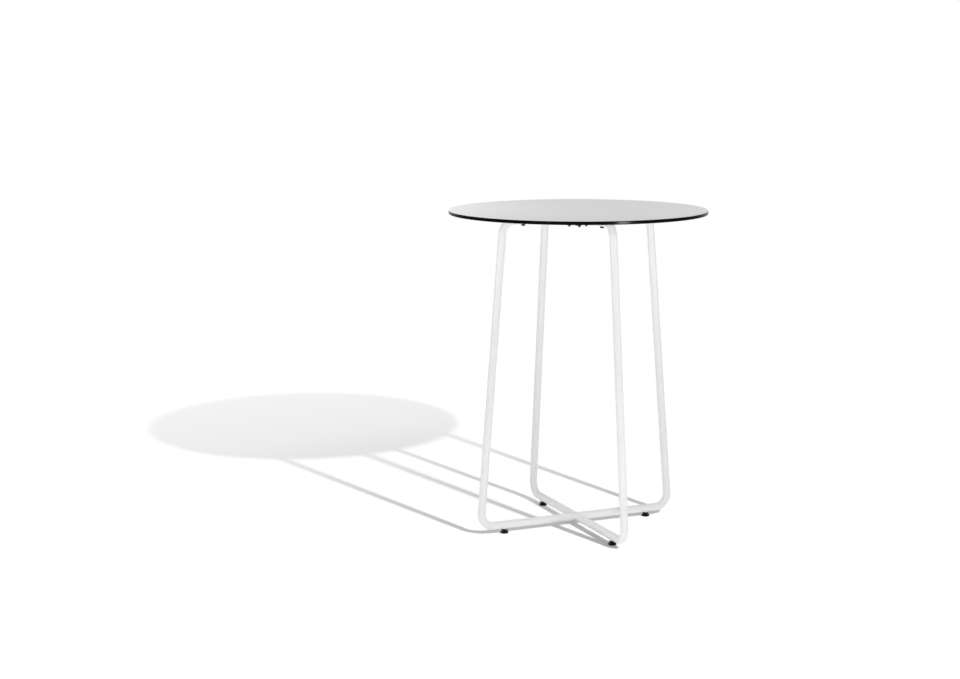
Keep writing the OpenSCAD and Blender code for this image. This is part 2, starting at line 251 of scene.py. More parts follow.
# %% [markdown]
# ## Floor and key lamp
# The shadow in the photograph is crisp, falls left and back, and is larger than the top, so it
# comes from one small lamp nearby, and the lamp's place follows from the shadow's outline. The
# table itself shows no such shadow, so the lamp falls on the floor alone. The floor rides on
# the front pad, so that it stays under the pads when all the feet are screwed out.

# %% Lay the floor under its lamp
FLOOR_HALF = 4.0
LAMP_PLACE = Vector((0.489, -2.470, 2.123))
LAMP_SIZE = (0.06, 0.05)
LAMP_LEVEL = 1.25
UNDER_TABLE = Vector((0.0, 0.0, 0.0))

floor_mesh = bpy.data.meshes.new("floor")
corners = [(-FLOOR_HALF, -FLOOR_HALF, 0.0), (FLOOR_HALF, -FLOOR_HALF, 0.0),
           (FLOOR_HALF, FLOOR_HALF, 0.0), (-FLOOR_HALF, FLOOR_HALF, 0.0)]
floor_mesh.from_pydata(corners, [], [(0, 1, 2, 3)])
floor = bpy.data.objects.new("floor", floor_mesh)
bpy.context.scene.collection.objects.link(floor)
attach(floor, "pad_front")     # when the feet are screwed out, the ground stays under them
add_lamp("key_lamp", LAMP_PLACE, UNDER_TABLE, LAMP_SIZE, LAMP_LEVEL, receivers=[floor])
print("floor half width:", FLOOR_HALF, "m")

# %% [markdown]
# ## Floor paint
# To the camera the floor is as white as the room: a glow that only direct views see makes up
# what the room and the lamp leave missing at each point. In the shadow the lamp's part is gone,
# and that shows. The shadow pales quickly away from the feet, and a darker paint shows less of
# a lamp, so the paint gets darker with distance while the glow keeps it white to the eye.

# %% Paint the floor
DARKER_FROM = 0.6           # distances from the middle of the table
DARKER_TO = 1.2
NEAR_ALBEDO = 0.66
FAR_ALBEDO = 0.47
FLOOR_SHOWN = 1.02          # a little over white, so the soft shade under the top stays pale


def object_place(tree):
    """Output with the place of a point on its object, in metres."""
    return tree.nodes.new("ShaderNodeTexCoord").outputs["Object"]


def lamp_on_floor(tree):
    """Output with what the key lamp gives a level floor at each point.

    It is the lamp's level at the table, times the square of its reach there, times its
    height, times how far the point lies along its axis, over the fourth power of the
    point's distance from the lamp."""
    ray = UNDER_TABLE - LAMP_PLACE
    axis = ray.normalized()
    level_at_unit = LAMP_LEVEL * ray.length_squared * LAMP_PLACE.z
    place = object_place(tree)
    from_middle = vector_node(tree, "DOT_PRODUCT", "Value", place, axis)
    from_lamp = math_node(tree, "SUBTRACT", from_middle, LAMP_PLACE.dot(axis))
    along_axis = math_node(tree, "MAXIMUM", from_lamp, 0.0)
    strength = math_node(tree, "MULTIPLY", along_axis, level_at_unit)
    distance = vector_node(tree, "DISTANCE", "Value", place, LAMP_PLACE)
    return math_node(tree, "DIVIDE", strength, math_node(tree, "POWER", distance, 4.0))


def make_floor_paint():
    """Matt paint, plus a glow in direct views that levels the floor out to white.

    The glow is white less the albedo times the light, which is the lamp's and the room's."""
    paint = bpy.data.materials.new("floor_paint")
    paint.use_nodes = True
    tree = paint.node_tree
    tree.nodes.clear()
    from_table = vector_node(tree, "DISTANCE", "Value", object_place(tree), UNDER_TABLE)
    albedo = map_range(tree, from_table, DARKER_FROM, DARKER_TO, NEAR_ALBEDO, FAR_ALBEDO)
    light = math_node(tree, "ADD", lamp_on_floor(tree), FILL_LEVEL)
    given_back = math_node(tree, "MULTIPLY", albedo, light)
    missing = math_node(tree, "SUBTRACT", FLOOR_SHOWN, given_back)
    made_up = math_node(tree, "MAXIMUM", missing, 0.0)
    glow = tree.nodes.new("ShaderNodeEmission")
    feed(tree, math_node(tree, "MULTIPLY", made_up, seen_directly(tree)), glow.inputs["Strength"])
    matt = tree.nodes.new("ShaderNodeBsdfDiffuse")
    feed(tree, albedo, matt.inputs["Color"])
    both = tree.nodes.new("ShaderNodeAddShader")
    feed(tree, matt.outputs["BSDF"], both.inputs[0])
    feed(tree, glow.outputs["Emission"], both.inputs[1])
    out = tree.nodes.new("ShaderNodeOutputMaterial")
    feed(tree, both.outputs["Shader"], out.inputs["Surface"])
    return paint


floor.data.materials.append(make_floor_paint())
print("floor albedo:", NEAR_ALBEDO, "near the table and", FAR_ALBEDO, "far from it")

# %% [markdown]
# ## A shared surface effect
# Powder coat, laminate and moulded nylon are never perfectly even: under a lamp each shows a
# fine skin of bumps, and its gloss drifts a little from place to place. One node group gives
# every material that skin, with its own scale and depth, and puts out a gloss value, a mask for
# colour drift and a normal.

# %% Build the skin group
SKIN_INPUTS = {"Scale": 800.0, "Depth": 0.00002, "Drift Scale": 9.0,
               "Gloss Low": 0.3, "Gloss High": 0.4}
FINE_DETAIL = 3.0           # layers of noise in the bumps
SLOW_DETAIL = 4.0           # layers of noise in the drift
DRIFT_LOW = 0.3             # noise values at which the drift begins and is full
DRIFT_HIGH = 0.7


def add_noise(tree, place, scale, detail):
    """Output of a Noise Texture at a place."""
    node = tree.nodes.new("ShaderNodeTexNoise")
    for name, given in (("Vector", place), ("Scale", scale), ("Detail", detail)):
        feed(tree, given, node.inputs[name])
    return node.outputs["Fac"]


def make_skin_group():
    """Node group: fine noise as a bump, slow noise as drift in gloss and colour."""
    group = bpy.data.node_groups.new("surface_skin", "ShaderNodeTree")
    face = group.interface
    for name, default in SKIN_INPUTS.items():
        socket = face.new_socket(name, in_out="INPUT", socket_type="NodeSocketFloat")
        socket.default_value = default
    face.new_socket("Roughness", in_out="OUTPUT", socket_type="NodeSocketFloat")
    face.new_socket("Drift", in_out="OUTPUT", socket_type="NodeSocketFloat")
    face.new_socket("Normal", in_out="OUTPUT", socket_type="NodeSocketVector")
    given = group.nodes.new("NodeGroupInput").outputs
    result = group.nodes.new("NodeGroupOutput").inputs
    place = object_place(group)
    fine = add_noise(group, place, given["Scale"], FINE_DETAIL)
    slow = add_noise(group, place, given["Drift Scale"], SLOW_DETAIL)
    bump = group.nodes.new("ShaderNodeBump")
    feed(group, 1.0, bump.inputs["Strength"])
    feed(group, given["Depth"], bump.inputs["Distance"])
    feed(group, fine, bump.inputs["Height"])
    drift = map_range(group, slow, DRIFT_LOW, DRIFT_HIGH, 0.0, 1.0)
    gloss = map_range(group, drift, 0.0, 1.0, given["Gloss Low"], given["Gloss High"])
    feed(group, gloss, result["Roughness"])
    feed(group, drift, result["Drift"])
    feed(group, bump.outputs["Normal"], result["Normal"])
    return group


skin_group = make_skin_group()
print("skin group sockets:", len(skin_group.interface.items_tree))

# %% Start a material with that skin
def mix_colour(tree, factor, first, second):
    """Output of a Mix node that goes from a first colour to a second."""
    node = tree.nodes.new("ShaderNodeMix")
    node.data_type = "RGBA"
    for name, given in (("Factor", factor), ("A", first), ("B", second)):
        feed(tree, given, node.inputs[name])
    return node.outputs["Result"]


def new_finish(name, dark, light, skin, metallic=0.0, specular=0.5):
    """Principled material whose colour drifts between two tones, with the shared skin.

    skin holds a value for each of the group's inputs."""
    material = bpy.data.materials.new(name)
    material.use_nodes = True
    tree = material.node_tree
    shader = tree.nodes["Principled BSDF"].inputs
    group = tree.nodes.new("ShaderNodeGroup")
    group.node_tree = skin_group
    for socket, value in skin.items():
        feed(tree, value, group.inputs[socket])
    tone = mix_colour(tree, group.outputs["Drift"], (*dark, 1.0), (*light, 1.0))
    feed(tree, tone, shader["Base Color"])
    feed(tree, group.outputs["Roughness"], shader["Roughness"])
    feed(tree, group.outputs["Normal"], shader["Normal"])
    feed(tree, metallic, shader["Metallic"])
    feed(tree, specular, shader["Specular IOR Level"])
    return material


print("a finish sets:", ", ".join(SKIN_INPUTS))

# %% [markdown]
# ## White powder coat
# The frame is bent, welded and then coated as one piece: powder is baked into a satin skin with
# a very fine orange peel. Two noises are enough for it. The coat is a plastic film over steel,
# so the shader is a dielectric and not a metal.

# %% Finish the frame
def give(material, *names):
    """Put a material on CAD nodes."""
    for name in names:
        piece = nodes[name]
        piece.data.materials.clear()
        piece.data.materials.append(material)


frame_paint = new_finish(
    "white_powder_coat",
    dark=(0.80, 0.815, 0.815),
    light=(0.835, 0.85, 0.85),
    skin={"Scale": 900.0, "Depth": 0.00001, "Drift Scale": 14.0,
          "Gloss Low": 0.34, "Gloss High": 0.42},
)
give(frame_paint, "main_loop", "front_half_loop", "rear_half_loop", "centre_hub",
     *[f"foot_bush_{direction}" for direction in QUARTER_TURNS])
coated = [name for name, piece in nodes.items() if piece.data.materials[0] == frame_paint]
print("frame paint on", len(coated), "nodes")

# %% [markdown]
# ## Laminate
# A compact laminate is kraft paper soaked in black resin and pressed to a solid board, with a
# decor sheet on each face. The face is a satin grey with a faint mottle. At the rim the black
# resin shows under it, and just above the black a thin white line is painted round the rim: a
# painted highlight, where the rounded arris catches the bright room. Masks by height draw both in
# the face's own material: black up to the line's lower side, then the painted white up to its upper
# side.

# %% Finish the face
HIGHLIGHT_LINE_BOTTOM = 0.0002       # heights in the face's sheet between which its rim gets a painted highlight line
HIGHLIGHT_LINE_TOP = 0.0003
ARRIS_HIGHLIGHT_WHITE = (0.86, 0.86, 0.85, 1.0)
RESIN_BLACK = (0.003, 0.004, 0.004, 1.0)


def paint_over(material, mask, colour):
    """Where the mask is 1, the colour takes the place of the finish's tone."""
    tree = material.node_tree
    base = tree.nodes["Principled BSDF"].inputs["Base Color"]
    feed(tree, mix_colour(tree, mask, base.links[0].from_socket, colour), base)


top_low, top_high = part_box("tabletop_face")
decor_face = new_finish(
    "grey_decor",
    dark=(0.62, 0.62, 0.615),
    light=(0.65, 0.65, 0.645),
    skin={"Scale": 2200.0, "Depth": 0.000004, "Drift Scale": 5.0,
          "Gloss Low": 0.34, "Gloss High": 0.40},
)
decor_tree = decor_face.node_tree
decor_place = decor_tree.nodes.new("ShaderNodeSeparateXYZ")
feed(decor_tree, object_place(decor_tree), decor_place.inputs["Vector"])
# the white band is a painted highlight of the rounded arris, and the black below it is the resin
for height, colour in ((HIGHLIGHT_LINE_TOP, ARRIS_HIGHLIGHT_WHITE), (HIGHLIGHT_LINE_BOTTOM, RESIN_BLACK)):
    below = math_node(decor_tree, "LESS_THAN", decor_place.outputs["Z"], top_low[2] + height)
    paint_over(decor_face, below, colour)
print("light line:", round((HIGHLIGHT_LINE_TOP - HIGHLIGHT_LINE_BOTTOM) * 1000, 2), "mm")

# %% [markdown]
# ## Backing
# The sheet under the board balances the one on top, so that it can't warp. It is duller, and its
# printed paper is too thin to show at the rim, so there it is resin black. The rim is found by a
# point's distance from the middle of the table, which is the length of its place with the height
# left out.

# %% Finish the backing
RIM_ROUND = 0.0012
LEVEL_PART = (1.0, 1.0, 0.0)

decor_backing = new_finish(
    "grey_backing",
    dark=(0.58, 0.58, 0.575),
    light=(0.62, 0.62, 0.615),
    skin={"Scale": 1500.0, "Depth": 0.000008, "Drift Scale": 6.0,
          "Gloss Low": 0.5, "Gloss High": 0.6},
    specular=0.2,
)
backing_tree = decor_backing.node_tree
flattened = vector_node(backing_tree, "MULTIPLY", "Vector", object_place(backing_tree), LEVEL_PART)
from_axis = vector_node(backing_tree, "LENGTH", "Value", flattened)
in_edge = math_node(backing_tree, "GREATER_THAN", from_axis, top_high[0] - RIM_ROUND)
paint_over(decor_backing, in_edge, RESIN_BLACK)
print("backing is black from", round(top_high[0] - RIM_ROUND, 4), "m")

# %% [markdown]
# ## Black edge
# The sawn edge is polished, and it shows the pressed sheets as level lines. A noise that is
# stretched along the sheets, and fine across them, draws those lines as a very low bump on top
# of the shared skin.

# %% Draw the pressed sheets in the edge
SHEET_LINES = 5000.0        # noise cells to a metre of thickness
SHEET_LENGTHS = 25.0        # noise cells to a metre along the sheets
SHEET_DETAIL = 2.0
SHEET_DEPTH = 0.000002

black_core = new_finish(
    "black_core",
    dark=(0.002, 0.003, 0.003),
    light=(0.004, 0.006, 0.006),
    skin={"Scale": 1600.0, "Depth": 0.000003, "Drift Scale": 30.0,
          "Gloss Low": 0.16, "Gloss High": 0.22},
    specular=0.08,
)
core_tree = black_core.node_tree
core_normal = core_tree.nodes["Principled BSDF"].inputs["Normal"]
stretch = core_tree.nodes.new("ShaderNodeMapping")
feed(core_tree, object_place(core_tree), stretch.inputs["Vector"])
feed(core_tree, (SHEET_LENGTHS, SHEET_LENGTHS, SHEET_LINES), stretch.inputs["Scale"])
sheets = add_noise(core_tree, stretch.outputs["Vector"], scale=1.0, detail=SHEET_DETAIL)
sheet_edges = core_tree.nodes.new("ShaderNodeBump")
feed(core_tree, SHEET_DEPTH, sheet_edges.inputs["Distance"])
feed(core_tree, sheets, sheet_edges.inputs["Height"])
feed(core_tree, core_normal.links[0].from_socket, sheet_edges.inputs["Normal"])
feed(core_tree, sheet_edges.outputs["Normal"], core_normal)
print("core lines every", round(1000 / SHEET_LINES, 2), "mm")

# %% [markdown]
# ## Small parts
# The screws, studs, nuts and washers are black zinc on steel, the feet stand on black nylon, the
# spacers are white nylon, and the hidden inserts are turned brass. Only the brass is all metal
# to the shader: black zinc is a dark film through which some of the steel's shine comes.

# %% Finish the small parts
black_steel = new_finish(
    "black_zinc",
    dark=(0.008, 0.008, 0.009),
    light=(0.018, 0.018, 0.020),
    skin={"Scale": 1400.0, "Depth": 0.000006, "Drift Scale": 160.0,
          "Gloss Low": 0.32, "Gloss High": 0.5},
    metallic=0.6,
    specular=0.2,
)
pad_nylon = new_finish(
    "black_nylon",
    dark=(0.002, 0.002, 0.003),
    light=(0.005, 0.005, 0.006),
    skin={"Scale": 1800.0, "Depth": 0.00002, "Drift Scale": 90.0,
          "Gloss Low": 0.42, "Gloss High": 0.55},
    specular=0.12,
)
spacer_nylon = new_finish(
    "white_nylon",
    dark=(0.72, 0.73, 0.73),
    light=(0.78, 0.785, 0.78),
    skin={"Scale": 1500.0, "Depth": 0.000012, "Drift Scale": 60.0,
          "Gloss Low": 0.4, "Gloss High": 0.5},
)
give(spacer_nylon, "rail_spacers")
brass = new_finish(
    "turned_brass",
    dark=(0.60, 0.42, 0.17),
    light=(0.70, 0.50, 0.22),
    skin={"Scale": 1500.0, "Depth": 0.000008, "Drift Scale": 120.0,
          "Gloss Low": 0.22, "Gloss High": 0.34},
    metallic=1.0,
)
give(brass, "outer_inserts", "centre_inserts")
print("materials:", len(bpy.data.materials))

# %% [markdown]
# ## From grids to meshes
# A surface here is a grid of points: its rows follow a profile and its columns go round an axis
# or along a path. Joining neighbours gives quads. Where a row shrinks to a point on the axis,
# its points are merged into a pole, and a surface whose faces turn out to point inwards, which
# its signed volume tells, has them turned round.

# %% Carry a profile round the axis
ARC_STEPS = 8


def angles(columns):
    """Even steps of one whole turn."""
    return np.linspace(0, 2 * np.pi, columns, endpoint=False)


def ring_points(radius, height, columns):
    """Points round the Z axis at a radius and a height, each a number or an array.

    X is the radius times the angle's cosine, and Y is the radius times its sine."""
    r, z, angle = np.broadcast_arrays(radius, height, angles(columns))
    return np.stack([r * np.cos(angle), r * np.sin(angle), z], axis=-1)


def revolve(profile, columns):
    """Grid of a profile of (radius, height) points carried round the Z axis."""
    radius, height = np.asarray(profile, float).T[..., None]
    return ring_points(radius, height, columns)


def arc(radius, height, bend, start, stop, steps=ARC_STEPS):
    """Profile points on an arc about (radius, height), from one angle in degrees to another.

    A point lies the bend times the cosine further out and the bend times the sine higher."""
    a = np.radians(np.linspace(start, stop, steps + 1))
    return np.stack([radius + bend * np.cos(a), height + bend * np.sin(a)], axis=-1).tolist()


drum = revolve([(0, 0), (1, 0), (1, 1), (0, 1)], columns=360)
print("grid of a drum:", drum.shape)

# %% Join the points of a grid
def grid_faces(rows, columns, close_rows, close_columns):
    """Quads that join each point of a grid to the next row and the next column.

    A point's number is its row times the number of columns, plus its column."""
    i = np.arange(rows if close_rows else rows - 1)[:, None]
    j = np.arange(columns if close_columns else columns - 1)[None, :]
    next_row = (i + 1) % rows * columns
    next_column = (j + 1) % columns
    quads = [i * columns + j, i * columns + next_column, next_row + next_column, next_row + j]
    return np.stack([np.broadcast_to(q, (i.size, j.size)) for q in quads], axis=-1).reshape(-1, 4)


def signed_volume(points, faces):
    """Volume inside the quads: positive where they point outwards.

    Each quad is two triangles, and each of them adds a sixth of one corner's product with the
    cross product of the other two."""
    a, b, c, d = (points[faces[:, k]] for k in range(4))
    halves = np.einsum("ij,ij->i", a, np.cross(b, c)) + np.einsum("ij,ij->i", a, np.cross(c, d))
    return halves.sum() / 6


def outward_quads(grid, close_rows, close_columns):
    """The quads of a grid, turned round where they point inwards, and the volume in them."""
    quads = grid_faces(*grid.shape[:2], close_rows, close_columns)
    volume = signed_volume(grid.reshape(-1, 3), quads)
    return (quads if volume > 0 else quads[:, ::-1]), abs(volume)


drum_volume = outward_quads(drum, close_rows=False, close_columns=True)[1]
print(f"volume of the drum: {drum_volume:.4f}, and of a true one: {math.pi:.4f}")

# %% Make a piece from grids
SHARP_ANGLE = math.radians(32)
MERGE_DISTANCE = 1e-6


def merge_points(mesh):
    """Merge the points that coincide, and count the edges that don't join two faces."""
    work = bmesh.new()
    work.from_mesh(mesh)
    bmesh.ops.remove_doubles(work, verts=work.verts, dist=MERGE_DISTANCE)
    open_edges = sum(1 for edge in work.edges if len(edge.link_faces) != 2)
    work.to_mesh(mesh)
    work.free()
    return open_edges


def add_piece(name, grids, material, body, stands_for, close_rows=False, close_columns=True):
    """One mesh object from grids of points that close the same way, riding on a body."""
    points, faces, count, volume = [], [], 0, 0.0
    for grid in grids:
        quads, inside = outward_quads(grid, close_rows, close_columns)
        points.append(grid.reshape(-1, 3))
        faces.append(quads + count)
        count += len(points[-1])
        volume += inside
    mesh = bpy.data.meshes.new(name)
    mesh.from_pydata(np.concatenate(points).tolist(), [], np.concatenate(faces).tolist())
    open_edges = merge_points(mesh)
    mesh.shade_smooth()
    mesh.set_sharp_from_angle(angle=SHARP_ANGLE)
    mesh.materials.append(material)
    piece = bpy.data.objects.new(name, mesh)
    bpy.context.scene.collection.objects.link(piece)
    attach(piece, body)
    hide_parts(*stands_for)
    print(f"{name}: {len(mesh.polygons)} faces, {volume * 1e9:.0f} mm3, open edges {open_edges}")
    return piece


print("edges sharper than", round(math.degrees(SHARP_ANGLE)), "degrees stay sharp")

# %% [markdown]
# ## The top
# The three layers share one rim, whose arrises are rounded so that they don't cut. The small
# round is what catches the light. The layers are turned shapes: the radius at a height follows
# from the round, and the profile takes more points where it curves. One more ring lies just
# inside the round, so that the flat face stays flat in its shading too.

# %% Turn the layers of the top
RIM_STEPS = 12
RIM_COLUMNS = 360
RING_INSIDE_ROUND = 0.0004
FLAT_RINGS = (0.0, 0.1, 0.2)    # radii of the other rings on each flat

core_low, core_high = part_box("tabletop_core")
backing_low, backing_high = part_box("tabletop_backing")
top_radius = max(core_high[0], core_high[1])
top_middle = (top_high[2] + backing_low[2]) / 2
top_half = (top_high[2] - backing_low[2]) / 2


def rim_radius(height):
    """Radius of the top at a height: full in the middle, and in along a quarter circle."""
    into_round = np.maximum(np.abs(height - top_middle) - (top_half - RIM_ROUND), 0.0)
    return top_radius - RIM_ROUND + np.sqrt(np.maximum(RIM_ROUND ** 2 - into_round ** 2, 0.0))


def layer_profile(low, high):
    """Profile of one layer: out from the axis, up round the rim and back in.

    On a round, the heights go with the sine of even angles, so its points lie evenly."""
    rise = top_half - RIM_ROUND + RIM_ROUND * np.sin(np.linspace(0, np.pi / 2, RIM_STEPS))
    heights = np.concatenate([top_middle - rise[::-1], top_middle + rise])
    heights = np.unique(np.clip(heights, low, high))
    rim = np.stack([rim_radius(heights), heights], axis=-1).tolist()
    under = [(r, low) for r in (*FLAT_RINGS, rim[0][0] - RING_INSIDE_ROUND)]
    over = [(r, high) for r in (rim[-1][0] - RING_INSIDE_ROUND, *FLAT_RINGS[::-1])]
    return under + rim + over


decor_sheet = add_piece(
    "decor_sheet", [revolve(layer_profile(top_low[2], top_high[2]), RIM_COLUMNS)],
    decor_face, "table", ["tabletop_face"])
core_board = add_piece(
    "core_board", [revolve(layer_profile(core_low[2], core_high[2]), RIM_COLUMNS)],
    black_core, "table", ["tabletop_core"])
add_piece(
    "backing_sheet", [revolve(layer_profile(backing_low[2], backing_high[2]), RIM_COLUMNS)],
    decor_backing, "table", ["tabletop_backing"])

# %% [markdown]
# ## Threads
# Every screw here has a real thread. On a grid round the axis, the phase of a point is its
# height in pitches less its angle in turns, and the radius follows from the phase alone. With
# the rows one column's share of a pitch apart, every crest runs exactly through grid points.

# %% Cut a thread
CREST_SHARE = 1 / 16        # half the crest's flat, in pitches
FLANK_SHARE = 0.354         # one flank, in pitches
DEPTH_SHARE = 0.6134        # depth of the thread, in pitches


def threaded_rod(radius, pitch, low, high, columns):
    """Grid of a rod with a right-hand thread between two heights.

    The depth at a phase grows evenly from the end of the crest to the end of the flank, and
    is then full. At both ends the radius is never more than a cone's, which starts a thread's
    depth inside the crest and opens by its height, so that the ends are chamfered. The first
    and the last row lie on the axis and close the rod."""
    rows = int(round((high - low) / pitch * columns)) + 1
    z = np.minimum(low + np.arange(rows) * pitch / columns, high)[:, None]
    turn = (np.arange(columns) / columns)[None, :]
    phase = (z - low) / pitch - turn
    from_crest = np.abs(phase - np.round(phase))
    depth = DEPTH_SHARE * pitch * np.clip((from_crest - CREST_SHARE) / FLANK_SHARE, 0.0, 1.0)
    cone = radius - DEPTH_SHARE * pitch + np.minimum(z - low, high - z)
    shaft = ring_points(np.minimum(radius - depth, cone), z, columns)
    ends = shaft[[0, -1]] * np.array([0.0, 0.0, 1.0])
    return np.concatenate([ends[:1], shaft, ends[1:]])


print("a 1 mm pitch is cut", DEPTH_SHARE, "mm deep")

# %% [markdown]
# ## Hexagons
# A turned hexagon is a six-sided bar whose corners a lathe has taken down to a cone. The edge
# where cone and flat meet is a curve, and its height follows from the radius of the hexagon at
# that angle. Rows laid along that very curve give the exact shape with few faces.

# %% Turn a hexagon
HEX_COLUMNS = 96
CORNER_SLOPE = 2.0          # how much faster the cone narrows than it rises


def hexagon_radius(flats):
    """Radius of a hexagon with a corner on X, at each column's angle.

    It is half the width over the flats, over the cosine of the angle from a flat's middle."""
    sixth = np.pi / 3
    return flats / 2 / np.cos(angles(HEX_COLUMNS) % sixth - sixth / 2)


def hex_ring(radius, height):
    """Row of points at a radius and a height, with a hexagon's columns."""
    return ring_points(radius, height, HEX_COLUMNS)


def turned_hexagon_rows(flats, low, high):
    """Rows from the lower face's circle, along both curved edges, to the upper face's circle.

    An edge rises by the hexagon's radius less half the flats, over the cone's slope."""
    r = hexagon_radius(flats)
    rise = (r - flats / 2) / CORNER_SLOPE
    return [hex_ring(flats / 2, low), hex_ring(r, low + rise),
            hex_ring(r, high - rise), hex_ring(flats / 2, high)]


print(f"a 10 mm hexagon is {2 * hexagon_radius(10.0).max():.2f} mm over its corners")

# %% [markdown]
# ## Levelling feet
# Each foot is a screw with a hexagon collar for the spanner. Below the collar, a neck and a
# flange snap into the glide pad, which stays still on the floor while the screw turns in it.
# The stud is three closed shells: the turned foot, the collar and the thread.

# %% Make the levelling studs
FOOT_PITCH = 0.00125
FOOT_COLUMNS = 32
FOOT_THREAD_R = 0.004
COLLAR_FLATS = 0.013
COLLAR_HEIGHT = 0.0033
COLLAR_TOP = 0.0099
FLANGE_R = 0.0047
FLANGE_HEIGHT = 0.0018
NECK_R = 0.00325
NECK_FILLET = 0.0006
EDGE_BREAK = 0.0004
EDGE_STEPS = 4
INTO_NEXT = 0.0004          # how far a shell runs into the one above it


def foot_place(direction):
    """Reach of a foot from the middle, and its turn."""
    low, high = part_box(f"foot_pad_{direction}")
    middle = (np.array(low[:2]) + np.array(high[:2])) / 2
    return float(np.hypot(*middle)), QUARTER_TURNS[direction]


def stud_grids(low, high):
    """The three shells of a stud between two heights, round the Z axis."""
    flange_top = low + FLANGE_HEIGHT
    collar_low = COLLAR_TOP - COLLAR_HEIGHT
    foot = revolve([
        (0, low),
        (FLANGE_R - EDGE_BREAK, low),
        *arc(FLANGE_R - EDGE_BREAK, low + EDGE_BREAK, EDGE_BREAK, -90, 0, EDGE_STEPS),
        *arc(FLANGE_R - EDGE_BREAK, flange_top - EDGE_BREAK, EDGE_BREAK, 0, 90, EDGE_STEPS),
        *arc(NECK_R + NECK_FILLET, flange_top + NECK_FILLET, NECK_FILLET, -90, -180, EDGE_STEPS),
        (NECK_R, collar_low + INTO_NEXT),
        (0, collar_low + INTO_NEXT),
    ], HEX_COLUMNS)
    collar = np.stack([
        hex_ring(0, collar_low),
        *turned_hexagon_rows(COLLAR_FLATS, collar_low, COLLAR_TOP),
        hex_ring(0, COLLAR_TOP),
    ])
    thread = threaded_rod(FOOT_THREAD_R, FOOT_PITCH, COLLAR_TOP - INTO_NEXT, high, FOOT_COLUMNS)
    return [foot, collar, thread]


for direction in QUARTER_TURNS:
    stud_low, stud_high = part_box(f"foot_stud_{direction}")
    shells = stud_grids(stud_low[2], stud_high[2])
    placed = [copy for shell in shells for copy in at_each(shell, [foot_place(direction)])]
    add_piece(f"levelling_stud_{direction}", placed, black_steel,
              f"stud_{direction}", [f"foot_stud_{direction}"])

# %% [markdown]
# ## Glide pads
# A pad is one moulding: a round foot with soft rims, and a socket with a narrower throat that
# the flange snaps through. It's a single profile, carried round.

# %% Make the glide pads
LOWER_RIM = 0.0018
UPPER_RIM = 0.0009
PAD_FLOOR = 0.0013
THROAT_R = 0.00335
SOCKET_R = 0.0048
SOCKET_TOP = 0.0033


def pad_profile(radius, low, high):
    """Out along the sole, up round both rims, in to the throat and down into the socket."""
    return [
        (0, low),
        *arc(radius - LOWER_RIM, low + LOWER_RIM, LOWER_RIM, -90, 0),
        *arc(radius - UPPER_RIM, high - UPPER_RIM, UPPER_RIM, 0, 90),
        (THROAT_R, high),
        (THROAT_R, SOCKET_TOP),
        (SOCKET_R, SOCKET_TOP),
        (SOCKET_R, PAD_FLOOR),
        (0, PAD_FLOOR),
    ]


for direction in QUARTER_TURNS:
    pad_low, pad_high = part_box(f"foot_pad_{direction}")
    profile = pad_profile((pad_high[0] - pad_low[0]) / 2, pad_low[2], pad_high[2])
    placed = at_each(revolve(profile, HEX_COLUMNS), [foot_place(direction)])
    add_piece(f"glide_pad_{direction}", placed, pad_nylon,
              f"pad_{direction}", [f"foot_pad_{direction}"])

# %% [markdown]
# ## Pan-head screws
# Four screws come up through the rails and spacers into the top. A pan head has a rounded crown
# and a hexagon socket with a drill point at its bottom, so its rows begin in the socket: along
# its floor, down its six walls, out over the crown and back in under the tube.

# %% Make the outer screws
SCREW_PITCH = 0.0008
SCREW_COLUMNS = 16
SCREW_R = 0.0025
HEAD_R = 0.0045
HEAD_HEIGHT = 0.0036
CROWN_ROUND = 0.00162
SOCKET_FLATS = 0.003
SOCKET_DEPTH = 0.0018
DRILL_POINT = 0.0005
SOCKET_MOUTH = 0.0001       # width of the chamfer at the socket's mouth

screws_low, screws_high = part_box("outer_screws")
main_reach = screws_high[0] - HEAD_R
cross_reach = screws_high[1] - HEAD_R
screw_places = [(main_reach if degrees % 180 == 0 else cross_reach, degrees)
                for degrees in QUARTER_TURNS.values()]


def pan_head(low):
    """Grid of a pan head whose crown faces down, from the socket outwards."""
    top = low + HEAD_HEIGHT
    socket = hexagon_radius(SOCKET_FLATS)
    crown = arc(HEAD_R - CROWN_ROUND, low + CROWN_ROUND, CROWN_ROUND, -90, 0)
    return np.stack([
        hex_ring(0, low + SOCKET_DEPTH + DRILL_POINT),
        hex_ring(SOCKET_FLATS / 2 - SOCKET_MOUTH, low + SOCKET_DEPTH),
        hex_ring(socket, low + SOCKET_DEPTH),
        hex_ring(socket, low + SOCKET_MOUTH),
        hex_ring(socket.max() + SOCKET_MOUTH, low),
        *revolve(crown, HEX_COLUMNS),
        hex_ring(HEAD_R, top),
        hex_ring(0, top),
    ])


head = pan_head(screws_low[2])
shaft = threaded_rod(SCREW_R, SCREW_PITCH, screws_low[2] + HEAD_HEIGHT - INTO_NEXT,
                     screws_high[2], SCREW_COLUMNS)
add_piece("pan_screws", at_each(head, screw_places) + at_each(shaft, screw_places),
          black_steel, "table", ["outer_screws"])

# %% [markdown]
# ## Centre studs, nuts and washers
# Four studs stand in the top and pass down through the hub, where a washer and a nut hold each.
# Their ends show below the top in the photograph. They lie on one circle, turned a little from
# the rails. The nut's rows close into a ring: bore, lower face, corners, upper face, bore. So
# do the washer's, which is a plain section with broken edges.

# %% Make the centre studs
STUD_CIRCLE = 0.040
STUD_TURN = -16.0

stud_places = [(STUD_CIRCLE / 2, degrees + STUD_TURN) for degrees in QUARTER_TURNS.values()]
studs_low, studs_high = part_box("centre_studs")
rod = threaded_rod(SCREW_R, SCREW_PITCH, studs_low[2], studs_high[2], SCREW_COLUMNS)
add_piece("threaded_studs", at_each(rod, stud_places), black_steel, "table",
          ["centre_studs"])

# %% Make their nuts
NUT_FLATS = 0.008
NUT_BORE_R = 0.00255
BORE_COUNTERSINK = 0.0003


